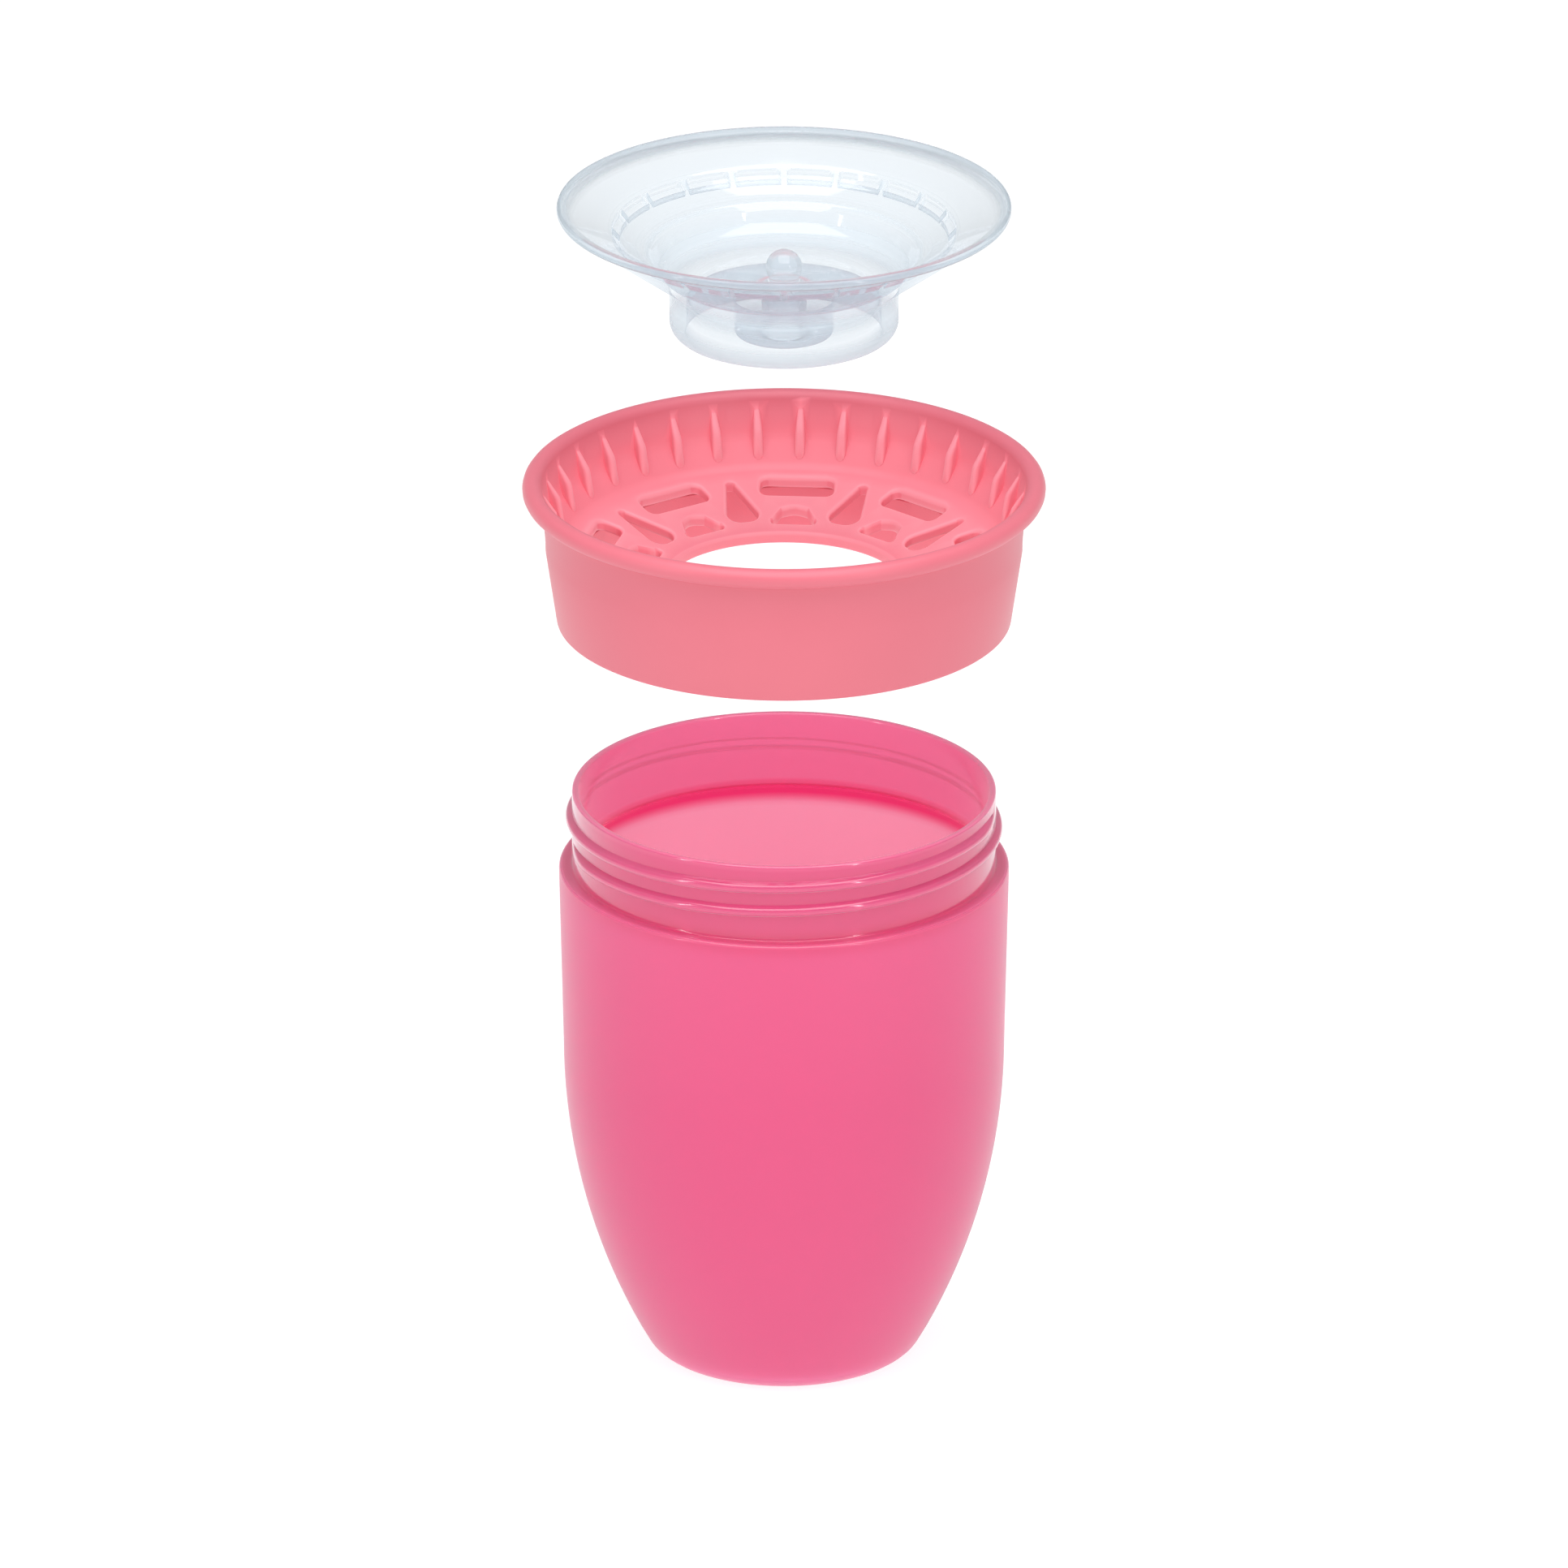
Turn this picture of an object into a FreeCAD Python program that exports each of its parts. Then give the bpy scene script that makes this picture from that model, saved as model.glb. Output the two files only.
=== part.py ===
import FreeCAD, Part
import math
import os
import re
import Sketcher

# A toddler's training cup that pours all round its rim, shown taken apart on one axis: the cup at
# the bottom, the drinking collar above it and the silicone valve on top. Z is up, the origin is
# the middle of the cup's base, and +X is the right-hand side seen from the front (-Y).

SIZES = {
    # cup
    "cup_height": 90.7,
    "neck_height": 12.1,
    "mouth_radius": 31.1,
    "lip_wall": 1.05,
    "shoulder_width": 2,
    "side_inset": 0.65,
    "side_straight_from": 50,
    "side_curve_radius": 98,
    "body_wall": 1.6,
    "base_wall": 2,
    "base_edge_fillet": 3.5,
    "shoulder_fillet": 0.7,
    "throat_depth": 11,
    "lip_fillet": 0.4,
    # right-hand thread round the neck
    "thread_depth": 0.95,
    "thread_pitch": 3.8,
    "thread_turns": 1.5,
    "thread_crest_width": 0.8,
    "thread_root_width": 1.9,
    "thread_from_rim": 8.05,
    "cup_turned": 180,
    # drinking collar: the socket that goes over the neck
    "bore_clearance": 0.25,
    "lip_seal_clearance": 0.2,
    "shoulder_gap": 1.8,
    "socket_wall": 0.95,
    "collar_edge_fillet": 0.5,
    # drinking collar: the flared wall and its rolled rim, measured from the socket
    "rim_above_socket": 10.9,
    "rim_overhang": 4.65,
    "roll_radius": 1.5,
    "roll_underside_angle": 60,
    "flare_above_socket": 1.2,
    "flare_overhang": 2.65,
    "flare_curve_radius": 34,
    "wall_lean": 10,
    "knee_drop": 5.4,
    "wall_lower_lean": 32.1,
    # drinking collar: the sloping floor
    "central_opening_radius": 17.6,
    "plate_below_socket": 3.2,
    "plate_slope": 17.3,
    "plate_wall": 1.8,
    # ribs on the collar's inner wall, measured down from the rim
    "rib_count": 34,
    "rib_width": 1.5,
    "rib_depth": 1.45,
    "rib_root": 0.4,
    "rib_top_drop": 0.8,
    "rib_full_drop": 3.8,
    "rib_foot_drop": 7.6,
    "rib_foot_lean": 0.75,
    "rib_bottom_drop": 8.3,
    # openings through the collar's floor
    "opening_count": 9,
    "slot_margin": 0.6,
    "slot_width": 3.9,
    "slot_length": 11.2,
    "slot_corner": 1.2,
    "moon_margin": 2.2,
    "moon_bar": 2.6,
    "moon_width": 6.6,
    "drop_margin": 3.3,
    "drop_outer_margin": 0.9,
    "drop_wide": 4.8,
    "drop_narrow": 1.3,
    # valve: its fit in the collar
    "valve_rim_inset": 3.8,
    "valve_rim_drop": 1,
    "plug_clearance": 0.35,
    "seat_clearance": 0.4,
    # valve: the flange, measured in and down from the rim
    "bead_radius": 0.6,
    "dish_edge_drop": 0.35,
    "dish_edge_width": 2,
    "dish_width": 8.1,
    "crease_drop": 3.6,
    "step_width": 1.6,
    "step_drop": 5.4,
    "under_edge_width": 3.6,
    "under_edge_drop": 3,
    # valve: the well, measured from the plug and the seat
    "well_edge_overhang": 3.35,
    "well_edge_drop": 7.6,
    "well_wall_overhang": 1.35,
    "well_wall_rise": 1.7,
    "well_floor_inset": 3.95,
    "well_floor_sink": 0.1,
    # valve: the pull knob, the plug and the boss under the well
    "knob_radius": 2.75,
    "knob_neck_radius": 2.2,
    "knob_foot_radius": 3.2,
    "knob_height": 5.5,
    "skirt_length": 7.9,
    "skirt_wall": 2.6,
    "skirt_edge_fillet": 2.2,
    "web_wall": 1.8,
    "boss_radius": 7.4,
    "core_radius": 3.4,
    "core_roof": 1.6,
    # valve: the pockets round the dish
    "pocket_count": 20,
    "pocket_inset": 1.2,
    "pocket_width": 1.6,
    "pocket_rib_width": 1.3,
    "pocket_drop": 5.1,
    # how far apart the pieces are shown, and how they are turned
    "collar_gap": 27.6,
    "valve_gap": 23.5,
    "collar_turned": 86,
    "valve_turned": 81,
}

doc = FreeCAD.newDocument("TrainingCup")
sheet = doc.addObject("Spreadsheet::Sheet", "Sizes")
for row, (alias, number) in enumerate(SIZES.items(), start=1):
    sheet.set(f"A{row}", alias)
    sheet.set(f"B{row}", str(number))
    sheet.setAlias(f"B{row}", alias)
doc.recompute()


def cells(formula):
    """Point every size named in a formula at its cell in the sheet."""
    return re.sub(r"\b[a-z]+(?:_[a-z]+)+\b", lambda word: "Sizes." + word.group(), formula)


def value(formula):
    """The present number of a formula, for first positions and for finding edges."""
    return float(sheet.evalExpression(cells(formula)))


def bind(thing, **formulas):
    """Tie properties of a feature to formulas of the sheet's sizes."""
    for name, formula in formulas.items():
        thing.setExpression(name.replace("__", "."), cells(formula))


def origin_part(body, role):
    return next(item for item in body.Origin.OriginFeatures if item.Role == role)


def new_body(name):
    body = doc.addObject("PartDesign::Body", name)
    body.Label = name
    return body


class Outline:
    """A closed sketch outline whose every corner and arc is bound to the sheet."""

    def __init__(self, body, name, plane, start):
        self.sketch = body.newObject("Sketcher::SketchObject", name)
        self.sketch.AttachmentSupport = [(origin_part(body, plane), "")]
        self.sketch.MapMode = "FlatFace"
        self.start = self.here = start
        self.curves = []

    def add(self, curve, start, end, radius=None):
        index = self.sketch.addGeometry(curve, False)
        first, last = 1, 2
        if (self.sketch.getPoint(index, first) - self.point(start)).Length > 1e-6:
            first, last = last, first
        self.curves.append((index, first, last, end))
        if radius:
            self.dimension("Radius", radius, index)
        self.here = end

    def point(self, corner):
        return FreeCAD.Vector(value(corner[0]), value(corner[1]), 0)

    def dimension(self, kind, formula, *where):
        number = self.sketch.addConstraint(Sketcher.Constraint(kind, *where, value(formula)))
        self.sketch.setExpression(f"Constraints[{number}]", cells(formula))

    def line(self, x, y):
        self.add(Part.LineSegment(self.point(self.here), self.point((x, y))), self.here, (x, y))

    def arc(self, x, y, radius, bulge):
        """An arc to x, y that bulges to the left (+1) or the right (-1) of the way there."""
        start, end = self.point(self.here), self.point((x, y))
        half = (end - start) / 2
        side = FreeCAD.Vector(-half.y, half.x, 0).normalize()
        size = value(radius)
        centre = start + half - side * bulge * math.sqrt(size ** 2 - half.Length ** 2)
        middle = centre + side * bulge * size
        self.add(Part.Arc(start, middle, end), self.here, (x, y), radius)

    def close(self):
        if self.here != self.start:
            self.line(*self.start)
        for (index, _, end, corner), following in zip(self.curves, self.curves[1:] + self.curves[:1]):
            self.sketch.addConstraint(
                Sketcher.Constraint("Coincident", index, end, following[0], following[1])
            )
            for axis, kind, formula in ((-2, "DistanceX", corner[0]), (-1, "DistanceY", corner[1])):
                if formula == "0":
                    self.sketch.addConstraint(Sketcher.Constraint("PointOnObject", index, end, axis))
                else:
                    self.dimension(kind, formula, -1, 1, index, end)
        doc.recompute()
        return self.sketch


def turned(body, kind, name, sketch):
    """A Revolution or Groove of an XZ outline about Z."""
    feature = body.newObject("PartDesign::" + kind, name)
    feature.Profile = sketch
    feature.ReferenceAxis = (sketch, ["V_Axis"])
    feature.Angle = 360
    doc.recompute()
    return feature


def around(body, name, feature, count):
    """Repeat a feature evenly round Z."""
    pattern = body.newObject("PartDesign::PolarPattern", name)
    pattern.Originals = [feature]
    pattern.Axis = (origin_part(body, "Z_Axis"), [""])
    pattern.Angle = 360
    bind(pattern, Occurrences=count)
    body.Tip = pattern
    doc.recompute()
    return pattern


def rims_at(shape, radius, height):
    """Names of the full circles of that radius and height round Z."""
    names = []
    for number, edge in enumerate(shape.Edges, start=1):
        if edge.Degenerated:
            continue
        curve = edge.Curve
        if isinstance(curve, Part.Circle) and abs(curve.Radius - radius) < 1e-4:
            if abs(curve.Center.z - height) < 1e-4 and math.hypot(curve.Center.x, curve.Center.y) < 1e-4:
                names.append(f"Edge{number}")
    return names


def dress(body, kind, name, size, names):
    """A Fillet or Chamfer of the named edges of the body's last feature."""
    base = body.Tip
    feature = body.newObject("PartDesign::" + kind, name)
    feature.Base = (base, names)
    bind(feature, **{"Radius" if kind == "Fillet" else "Size": size})
    doc.recompute()
    return feature


def round_rim(body, name, size, radius, height):
    names = rims_at(body.Tip.Shape, value(radius), value(height))
    return dress(body, "Fillet", name, size, names)


# --- cup ------------------------------------------------------------------------------------------

SHOULDER_HEIGHT = "(cup_height - neck_height)"
NECK_RADIUS = "(mouth_radius + lip_wall)"
SHOULDER_RADIUS = f"({NECK_RADIUS} + shoulder_width)"
SIDE_RADIUS = f"({SHOULDER_RADIUS} - side_inset)"
CURVE_CENTRE = f"({SIDE_RADIUS} - side_curve_radius)"


def cup_side(drop, curve_radius):
    """Radius of the side's curve at a distance below the start of the curve."""
    return f"{CURVE_CENTRE} + sqrt(({curve_radius})^2 - ({drop})^2)"


def make_cup():
    body = new_body("cup_body")
    outside = Outline(body, "cup_outside", "XZ_Plane", ("0", "0"))
    outside.line(cup_side("side_straight_from", "side_curve_radius"), "0")
    outside.arc(SIDE_RADIUS, "side_straight_from", "side_curve_radius", -1)
    outside.line(SHOULDER_RADIUS, SHOULDER_HEIGHT)
    outside.line(NECK_RADIUS, SHOULDER_HEIGHT)
    outside.line(NECK_RADIUS, "cup_height")
    outside.line("0", "cup_height")
    turned(body, "Revolution", "cup_solid", outside.close())
    base_edge = cup_side("side_straight_from", "side_curve_radius")
    round_rim(body, "base_edge", "base_edge_fillet", base_edge, "0")
    round_rim(body, "shoulder_edge", "shoulder_fillet", SHOULDER_RADIUS, SHOULDER_HEIGHT)

    inside_curve = "side_curve_radius - body_wall"
    throat_height = "cup_height - throat_depth"
    belly_height = "(cup_height - throat_depth - 1.5 * body_wall)"
    inside = Outline(body, "cup_inside", "XZ_Plane", ("0", "base_wall"))
    inside.line(cup_side("side_straight_from - base_wall", inside_curve), "base_wall")
    inside.arc(f"{SIDE_RADIUS} - body_wall", "side_straight_from", inside_curve, -1)
    inside.line(f"{SIDE_RADIUS} - body_wall", belly_height)
    inside.line("mouth_radius", throat_height)
    inside.line("mouth_radius", "cup_height")
    inside.line("0", "cup_height")
    turned(body, "Groove", "cup_hollow", inside.close())
    floor_edge = cup_side("side_straight_from - base_wall", inside_curve)
    round_rim(body, "floor_edge", "base_edge_fillet", floor_edge, "base_wall")
    round_rim(body, "lip_outer_edge", "lip_fillet", NECK_RADIUS, "cup_height")
    round_rim(body, "lip_inner_edge", "lip_fillet", "mouth_radius", "cup_height")
    add_thread(body)
    bind(body, Placement__Rotation__Angle="cup_turned")
    return body


def add_thread(body):
    """The right-hand thread, a ridge swept up the neck; its foot is sunk in the neck's wall."""
    foot_radius = f"{NECK_RADIUS} - lip_wall / 3"
    crest_radius = f"{NECK_RADIUS} + thread_depth"
    low = "(cup_height - thread_from_rim)"
    section = Outline(body, "thread_section", "XZ_Plane", (foot_radius, f"{low} - thread_root_width / 2"))
    section.line(crest_radius, f"{low} - thread_crest_width / 2")
    section.line(crest_radius, f"{low} + thread_crest_width / 2")
    section.line(foot_radius, f"{low} + thread_root_width / 2")
    sketch = section.close()
    thread = body.newObject("PartDesign::AdditiveHelix", "neck_thread")
    thread.Profile = sketch
    thread.ReferenceAxis = (sketch, ["V_Axis"])
    thread.Mode = "pitch-turns-angle"
    bind(thread, Pitch="thread_pitch", Turns="thread_turns")
    doc.recompute()
    return thread


# --- drinking collar ------------------------------------------------------------------------------

BORE_RADIUS = f"({NECK_RADIUS} + thread_depth + bore_clearance)"
SEAL_RADIUS = "(mouth_radius - lip_seal_clearance)"
SOCKET_DEPTH = "(neck_height - shoulder_gap)"
RIM_RADIUS = f"({BORE_RADIUS} + rim_overhang)"
RIM_HEIGHT = f"({SOCKET_DEPTH} + rim_above_socket)"
WALL_TOP_RADIUS = f"({RIM_RADIUS} - roll_radius * cos(wall_lean))"
WALL_TOP_HEIGHT = f"({RIM_HEIGHT} + roll_radius * sin(wall_lean))"
PLATE_HEIGHT = f"({SOCKET_DEPTH} - plate_below_socket)"
PLATE_AT_AXIS = f"({PLATE_HEIGHT} - central_opening_radius * tan(plate_slope))"
KNEE_RADIUS = f"({WALL_TOP_RADIUS} - knee_drop * tan(wall_lean))"
KNEE_HEIGHT = f"({WALL_TOP_HEIGHT} - knee_drop)"
CREASE_RADIUS = (
    f"(({KNEE_RADIUS} - tan(wall_lower_lean) * ({KNEE_HEIGHT} - {PLATE_AT_AXIS}))"
    " / (1 - tan(wall_lower_lean) * tan(plate_slope)))"
)


def plate_top(radius):
    return f"({PLATE_AT_AXIS} + ({radius}) * tan(plate_slope))"


def upper_wall(height):
    """Inner radius of the collar's wall at a height above its knee."""
    return f"({WALL_TOP_RADIUS} - tan(wall_lean) * ({WALL_TOP_HEIGHT} - ({height})))"


def lower_wall(height):
    """Inner radius of the collar's wall at a height below its knee."""
    return f"({KNEE_RADIUS} - tan(wall_lower_lean) * ({KNEE_HEIGHT} - ({height})))"


def make_collar():
    body = new_body("drinking_collar")
    ring = Outline(body, "collar_section", "XZ_Plane", (BORE_RADIUS, "0"))
    ring.line(f"{BORE_RADIUS} + socket_wall", "0")
    ring.line(f"{BORE_RADIUS} + flare_overhang", f"{SOCKET_DEPTH} + flare_above_socket")
    ring.arc(
        f"{RIM_RADIUS} - roll_radius * cos(roll_underside_angle)",
        f"{RIM_HEIGHT} - roll_radius * sin(roll_underside_angle)",
        "flare_curve_radius",
        1,
    )
    ring.arc(f"{RIM_RADIUS} + roll_radius", RIM_HEIGHT, "roll_radius", -1)
    ring.arc(WALL_TOP_RADIUS, WALL_TOP_HEIGHT, "roll_radius", -1)
    ring.line(KNEE_RADIUS, KNEE_HEIGHT)
    ring.line(CREASE_RADIUS, plate_top(CREASE_RADIUS))
    ring.line("central_opening_radius", PLATE_HEIGHT)
    ring.line("central_opening_radius", f"{PLATE_HEIGHT} - plate_wall")
    ring.line(SEAL_RADIUS, f"{plate_top(SEAL_RADIUS)} - plate_wall")
    ring.line(SEAL_RADIUS, SOCKET_DEPTH)
    ring.line(BORE_RADIUS, SOCKET_DEPTH)
    turned(body, "Revolution", "collar_ring", ring.close())
    round_rim(body, "collar_edge", "collar_edge_fillet", f"{BORE_RADIUS} + socket_wall", "0")
    for name, outline in (("slot", slot_outline), ("moon", moon_outline), ("drop", drop_outline)):
        sketch = outline(body)
        hole = body.newObject("PartDesign::Pocket", name)
        hole.Profile = sketch
        hole.Type = "ThroughAll"
        hole.Midplane = True
        doc.recompute()
        around(body, name + "_ring", hole, "opening_count")
    add_ribs(body)
    bind(body, Placement__Base__z="cup_height + collar_gap")
    bind(body, Placement__Rotation__Angle="collar_turned")
    return body


SLOT_INNER = f"({SEAL_RADIUS} - slot_margin - slot_width)"
MOON_FLAT = "(central_opening_radius + moon_margin)"
MOON_DEPTH = f"({SLOT_INNER} - moon_bar - {MOON_FLAT})"
DROP_INNER = "(central_opening_radius + drop_margin)"
DROP_OUTER = f"({SEAL_RADIUS} - drop_outer_margin)"


def slot_outline(body):
    """A tangential slot with rounded corners, centred on the body's X axis."""
    near, far = SLOT_INNER, f"({SLOT_INNER} + slot_width)"
    side = "slot_length / 2"
    inset = f"({side} - slot_corner)"
    slot = Outline(body, "slot_outline", "XY_Plane", (near, f"0 - {inset}"))
    slot.arc(f"{near} + slot_corner", f"0 - {side}", "slot_corner", -1)
    slot.line(f"{far} - slot_corner", f"0 - {side}")
    slot.arc(far, f"0 - {inset}", "slot_corner", -1)
    slot.line(far, inset)
    slot.arc(f"{far} - slot_corner", side, "slot_corner", -1)
    slot.line(f"{near} + slot_corner", side)
    slot.arc(near, inset, "slot_corner", -1)
    return slot.close()


def moon_outline(body):
    """A half-moon hole with its flat side towards the central opening."""
    half = "moon_width / 2"
    moon = Outline(body, "moon_outline", "XY_Plane", (MOON_FLAT, f"0 - {half}"))
    radius = f"(({half})^2 + {MOON_DEPTH}^2) / (2 * {MOON_DEPTH})"
    moon.arc(f"{MOON_FLAT} + {MOON_DEPTH}", "0", radius, -1)
    moon.arc(MOON_FLAT, half, radius, -1)
    return moon.close()


def drop_outline(body):
    """A teardrop hole halfway between two slots, its wide end towards the central opening."""
    wide, narrow = "drop_wide / 2", "drop_narrow / 2"
    wide_centre = f"({DROP_INNER} + {wide})"
    narrow_centre = f"({DROP_OUTER} - {narrow})"
    drop = Outline(body, "drop_outline", "XY_Plane", (DROP_INNER, "0"))
    drop.arc(wide_centre, f"0 - {wide}", wide, -1)
    drop.line(narrow_centre, f"0 - {narrow}")
    drop.arc(DROP_OUTER, "0", narrow, -1)
    drop.arc(narrow_centre, narrow, narrow, -1)
    drop.line(wide_centre, wide)
    drop.arc(DROP_INNER, "0", wide, -1)
    bind(drop.sketch, AttachmentOffset__Rotation__Angle="180 / opening_count")
    return drop.close()


def add_ribs(body):
    """Upright ribs that start at a point under the rim and die out above the floor."""
    top, full, foot, bottom = (
        f"{RIM_HEIGHT} - rib_{name}_drop" for name in ("top", "full", "foot", "bottom")
    )
    rib = Outline(body, "rib_side", "XZ_Plane", (upper_wall(top), top))
    rib.line(f"{upper_wall(full)} - rib_depth", full)
    rib.line(f"{upper_wall(full)} - rib_depth - rib_foot_lean", foot)
    rib.line(lower_wall(bottom), bottom)
    rib.line(f"{lower_wall(bottom)} + rib_root", bottom)
    rib.line(f"{KNEE_RADIUS} + rib_root", KNEE_HEIGHT)
    rib.line(f"{upper_wall(top)} + rib_root", top)
    pad = body.newObject("PartDesign::Pad", "rib")
    pad.Profile = rib.close()
    pad.Midplane = True
    bind(pad, Length="rib_width")
    doc.recompute()
    around(body, "rib_ring", pad, "rib_count")


# --- valve ----------------------------------------------------------------------------------------

VALVE_RADIUS = f"({RIM_RADIUS} - valve_rim_inset)"
CREASE_IN_DISH = f"({VALVE_RADIUS} - dish_width)"
SKIRT_RADIUS = "(central_opening_radius - plug_clearance)"
SEAT_DROP = f"({RIM_HEIGHT} - valve_rim_drop - {PLATE_HEIGHT} - seat_clearance)"
FLOOR_DROP = f"({SEAT_DROP} + well_floor_sink)"
VALVE_HEIGHT = f"({SEAT_DROP} + skirt_length)"


def up(drop):
    """Height above the valve's bottom of a depth below its rim."""
    return f"({VALVE_HEIGHT} - {drop})"


def make_valve():
    body = new_body("valve")
    skirt_inside = f"{SKIRT_RADIUS} - skirt_wall"
    section = Outline(body, "valve_section", "XZ_Plane", ("0", f"{up(FLOOR_DROP)} - core_roof"))
    section.line("core_radius", f"{up(FLOOR_DROP)} - core_roof")
    section.line("core_radius", "0")
    section.line("boss_radius", "0")
    section.line("boss_radius", f"{up(FLOOR_DROP)} - web_wall")
    section.line(skirt_inside, f"{up(FLOOR_DROP)} - web_wall")
    section.line(skirt_inside, "0")
    section.line(SKIRT_RADIUS, "0")
    section.line(SKIRT_RADIUS, up(SEAT_DROP))
    section.line(f"{VALVE_RADIUS} - under_edge_width", up("under_edge_drop"))
    section.line(f"{VALVE_RADIUS} - bead_radius", up("(2 * bead_radius)"))
    section.arc(VALVE_RADIUS, up("bead_radius"), "bead_radius", -1)
    section.arc(f"{VALVE_RADIUS} - bead_radius", VALVE_HEIGHT, "bead_radius", -1)
    section.line(f"{VALVE_RADIUS} - bead_radius - dish_edge_width / 2", up("dish_edge_drop"))
    section.line(CREASE_IN_DISH, up("crease_drop"))
    section.line(f"{CREASE_IN_DISH} - step_width", up("step_drop"))
    section.line(f"{SKIRT_RADIUS} + well_edge_overhang", up("well_edge_drop"))
    section.line(f"{SKIRT_RADIUS} + well_wall_overhang", f"{up(SEAT_DROP)} + well_wall_rise")
    section.line(f"{SKIRT_RADIUS} - well_floor_inset", up(FLOOR_DROP))
    section.line("knob_foot_radius", up(FLOOR_DROP))
    section.line("knob_neck_radius", f"{up(FLOOR_DROP)} + knob_radius / 2")
    section.line("knob_radius", f"{up(FLOOR_DROP)} + knob_height - knob_radius")
    section.arc("0", f"{up(FLOOR_DROP)} + knob_height", "knob_radius", -1)
    turned(body, "Revolution", "valve_disc", section.close())
    round_rim(body, "skirt_edge", "skirt_edge_fillet", SKIRT_RADIUS, "0")
    add_pockets(body)
    bind(
        body,
        Placement__Base__z=f"cup_height + collar_gap + {RIM_HEIGHT} + roll_radius + valve_gap",
        Placement__Rotation__Angle="valve_turned",
    )
    return body


def add_pockets(body):
    """Pockets in the steep band of the dish, parted by narrow ribs."""
    inner = f"({CREASE_IN_DISH} - pocket_inset)"
    outer = f"({inner} + pocket_width)"
    side = f"(180 deg / pocket_count - asin(pocket_rib_width / 2 / {inner}))"
    across, along = f"sin({side})", f"cos({side})"
    pocket = Outline(body, "pocket_outline", "XY_Plane", (f"{inner} * {along}", f"0 - {inner} * {across}"))
    pocket.line(f"{outer} * {along}", f"0 - {outer} * {across}")
    pocket.arc(f"{outer} * {along}", f"{outer} * {across}", outer, -1)
    pocket.line(f"{inner} * {along}", f"{inner} * {across}")
    pocket.arc(f"{inner} * {along}", f"0 - {inner} * {across}", inner, 1)
    bind(pocket.sketch, AttachmentOffset__Base__z=up("pocket_drop"))
    cut = body.newObject("PartDesign::Pocket", "pocket")
    cut.Profile = pocket.close()
    cut.Type = "Length"
    cut.Reversed = True
    bind(cut, Length="pocket_drop")
    doc.recompute()
    around(body, "pocket_ring", cut, "pocket_count")


# --- build, check and write -----------------------------------------------------------------------

bodies = [make_cup(), make_collar(), make_valve()]
doc.recompute()
for thing in doc.Objects:
    if {"Invalid", "Error"} & set(thing.State):
        raise RuntimeError(f"{thing.Label} failed: {thing.State}")
os.makedirs("parts", exist_ok=True)
for body in bodies:
    shape = body.Shape
    if shape.isNull() or not shape.isValid() or len(shape.Solids) != 1:
        raise RuntimeError(f"{body.Label} isn't one valid solid")
    box = shape.BoundBox
    print(f"{body.Label}: {shape.Volume:.0f} mm3, z {box.ZMin:.2f} to {box.ZMax:.2f}")
    shape.exportStep(f"parts/{body.Label}.step")
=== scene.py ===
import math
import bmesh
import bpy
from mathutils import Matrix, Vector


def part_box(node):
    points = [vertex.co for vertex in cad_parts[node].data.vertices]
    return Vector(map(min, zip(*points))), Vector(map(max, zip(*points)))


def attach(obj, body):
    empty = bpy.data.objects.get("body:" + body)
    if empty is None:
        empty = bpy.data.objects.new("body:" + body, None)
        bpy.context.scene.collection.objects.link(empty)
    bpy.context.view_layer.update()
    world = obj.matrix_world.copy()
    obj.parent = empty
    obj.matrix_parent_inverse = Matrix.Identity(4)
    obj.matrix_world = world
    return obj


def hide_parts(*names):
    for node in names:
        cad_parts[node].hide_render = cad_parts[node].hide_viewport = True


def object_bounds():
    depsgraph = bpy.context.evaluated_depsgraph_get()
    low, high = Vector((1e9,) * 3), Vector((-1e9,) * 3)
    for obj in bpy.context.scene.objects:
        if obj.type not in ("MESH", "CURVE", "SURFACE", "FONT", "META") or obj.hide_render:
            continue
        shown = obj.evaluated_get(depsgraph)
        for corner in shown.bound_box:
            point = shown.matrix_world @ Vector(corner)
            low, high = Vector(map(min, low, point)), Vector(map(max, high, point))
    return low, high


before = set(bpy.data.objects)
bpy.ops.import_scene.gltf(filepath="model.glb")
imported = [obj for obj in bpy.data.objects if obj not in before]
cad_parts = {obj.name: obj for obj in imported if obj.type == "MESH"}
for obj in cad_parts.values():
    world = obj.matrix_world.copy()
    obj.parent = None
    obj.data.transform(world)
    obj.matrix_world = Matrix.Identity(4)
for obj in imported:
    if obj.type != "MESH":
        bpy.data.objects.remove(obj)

# %% [markdown]
# # A training cup taken apart
# The object is a toddler's cup that pours all round its rim. Three mouldings float on one axis: a
# translucent pink tumbler, a salmon pink drinking collar and a clear silicone valve. All three are
# turned shapes, so most of the work is a good outline that spins round the axis. Sizes are in
# millimetres and are turned into metres where vertices are made.

MM = 0.001
ROUND = 144
cad_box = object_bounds()
cup_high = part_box("cup_body")[1] / MM
collar_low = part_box("drinking_collar")[0] / MM
valve_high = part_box("valve")[1] / MM
print("the model stands", round((cad_box[1] - cad_box[0]).z / MM, 1), "mm tall")

# %% [markdown]
# ## Turned shapes
# A lathe outline is a chain of corners, each with its radius, its height and how far back from the
# corner the rounding starts. The bevel operator rounds the corners of the chain while it is still
# a wire, which costs nothing, and the spin operator then turns the chain once round the axis. A
# chain that comes back to its start makes a closed solid ring. Every finished piece also records
# two attributes for its material: which surfaces face inwards, and where the surface bends.

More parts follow.
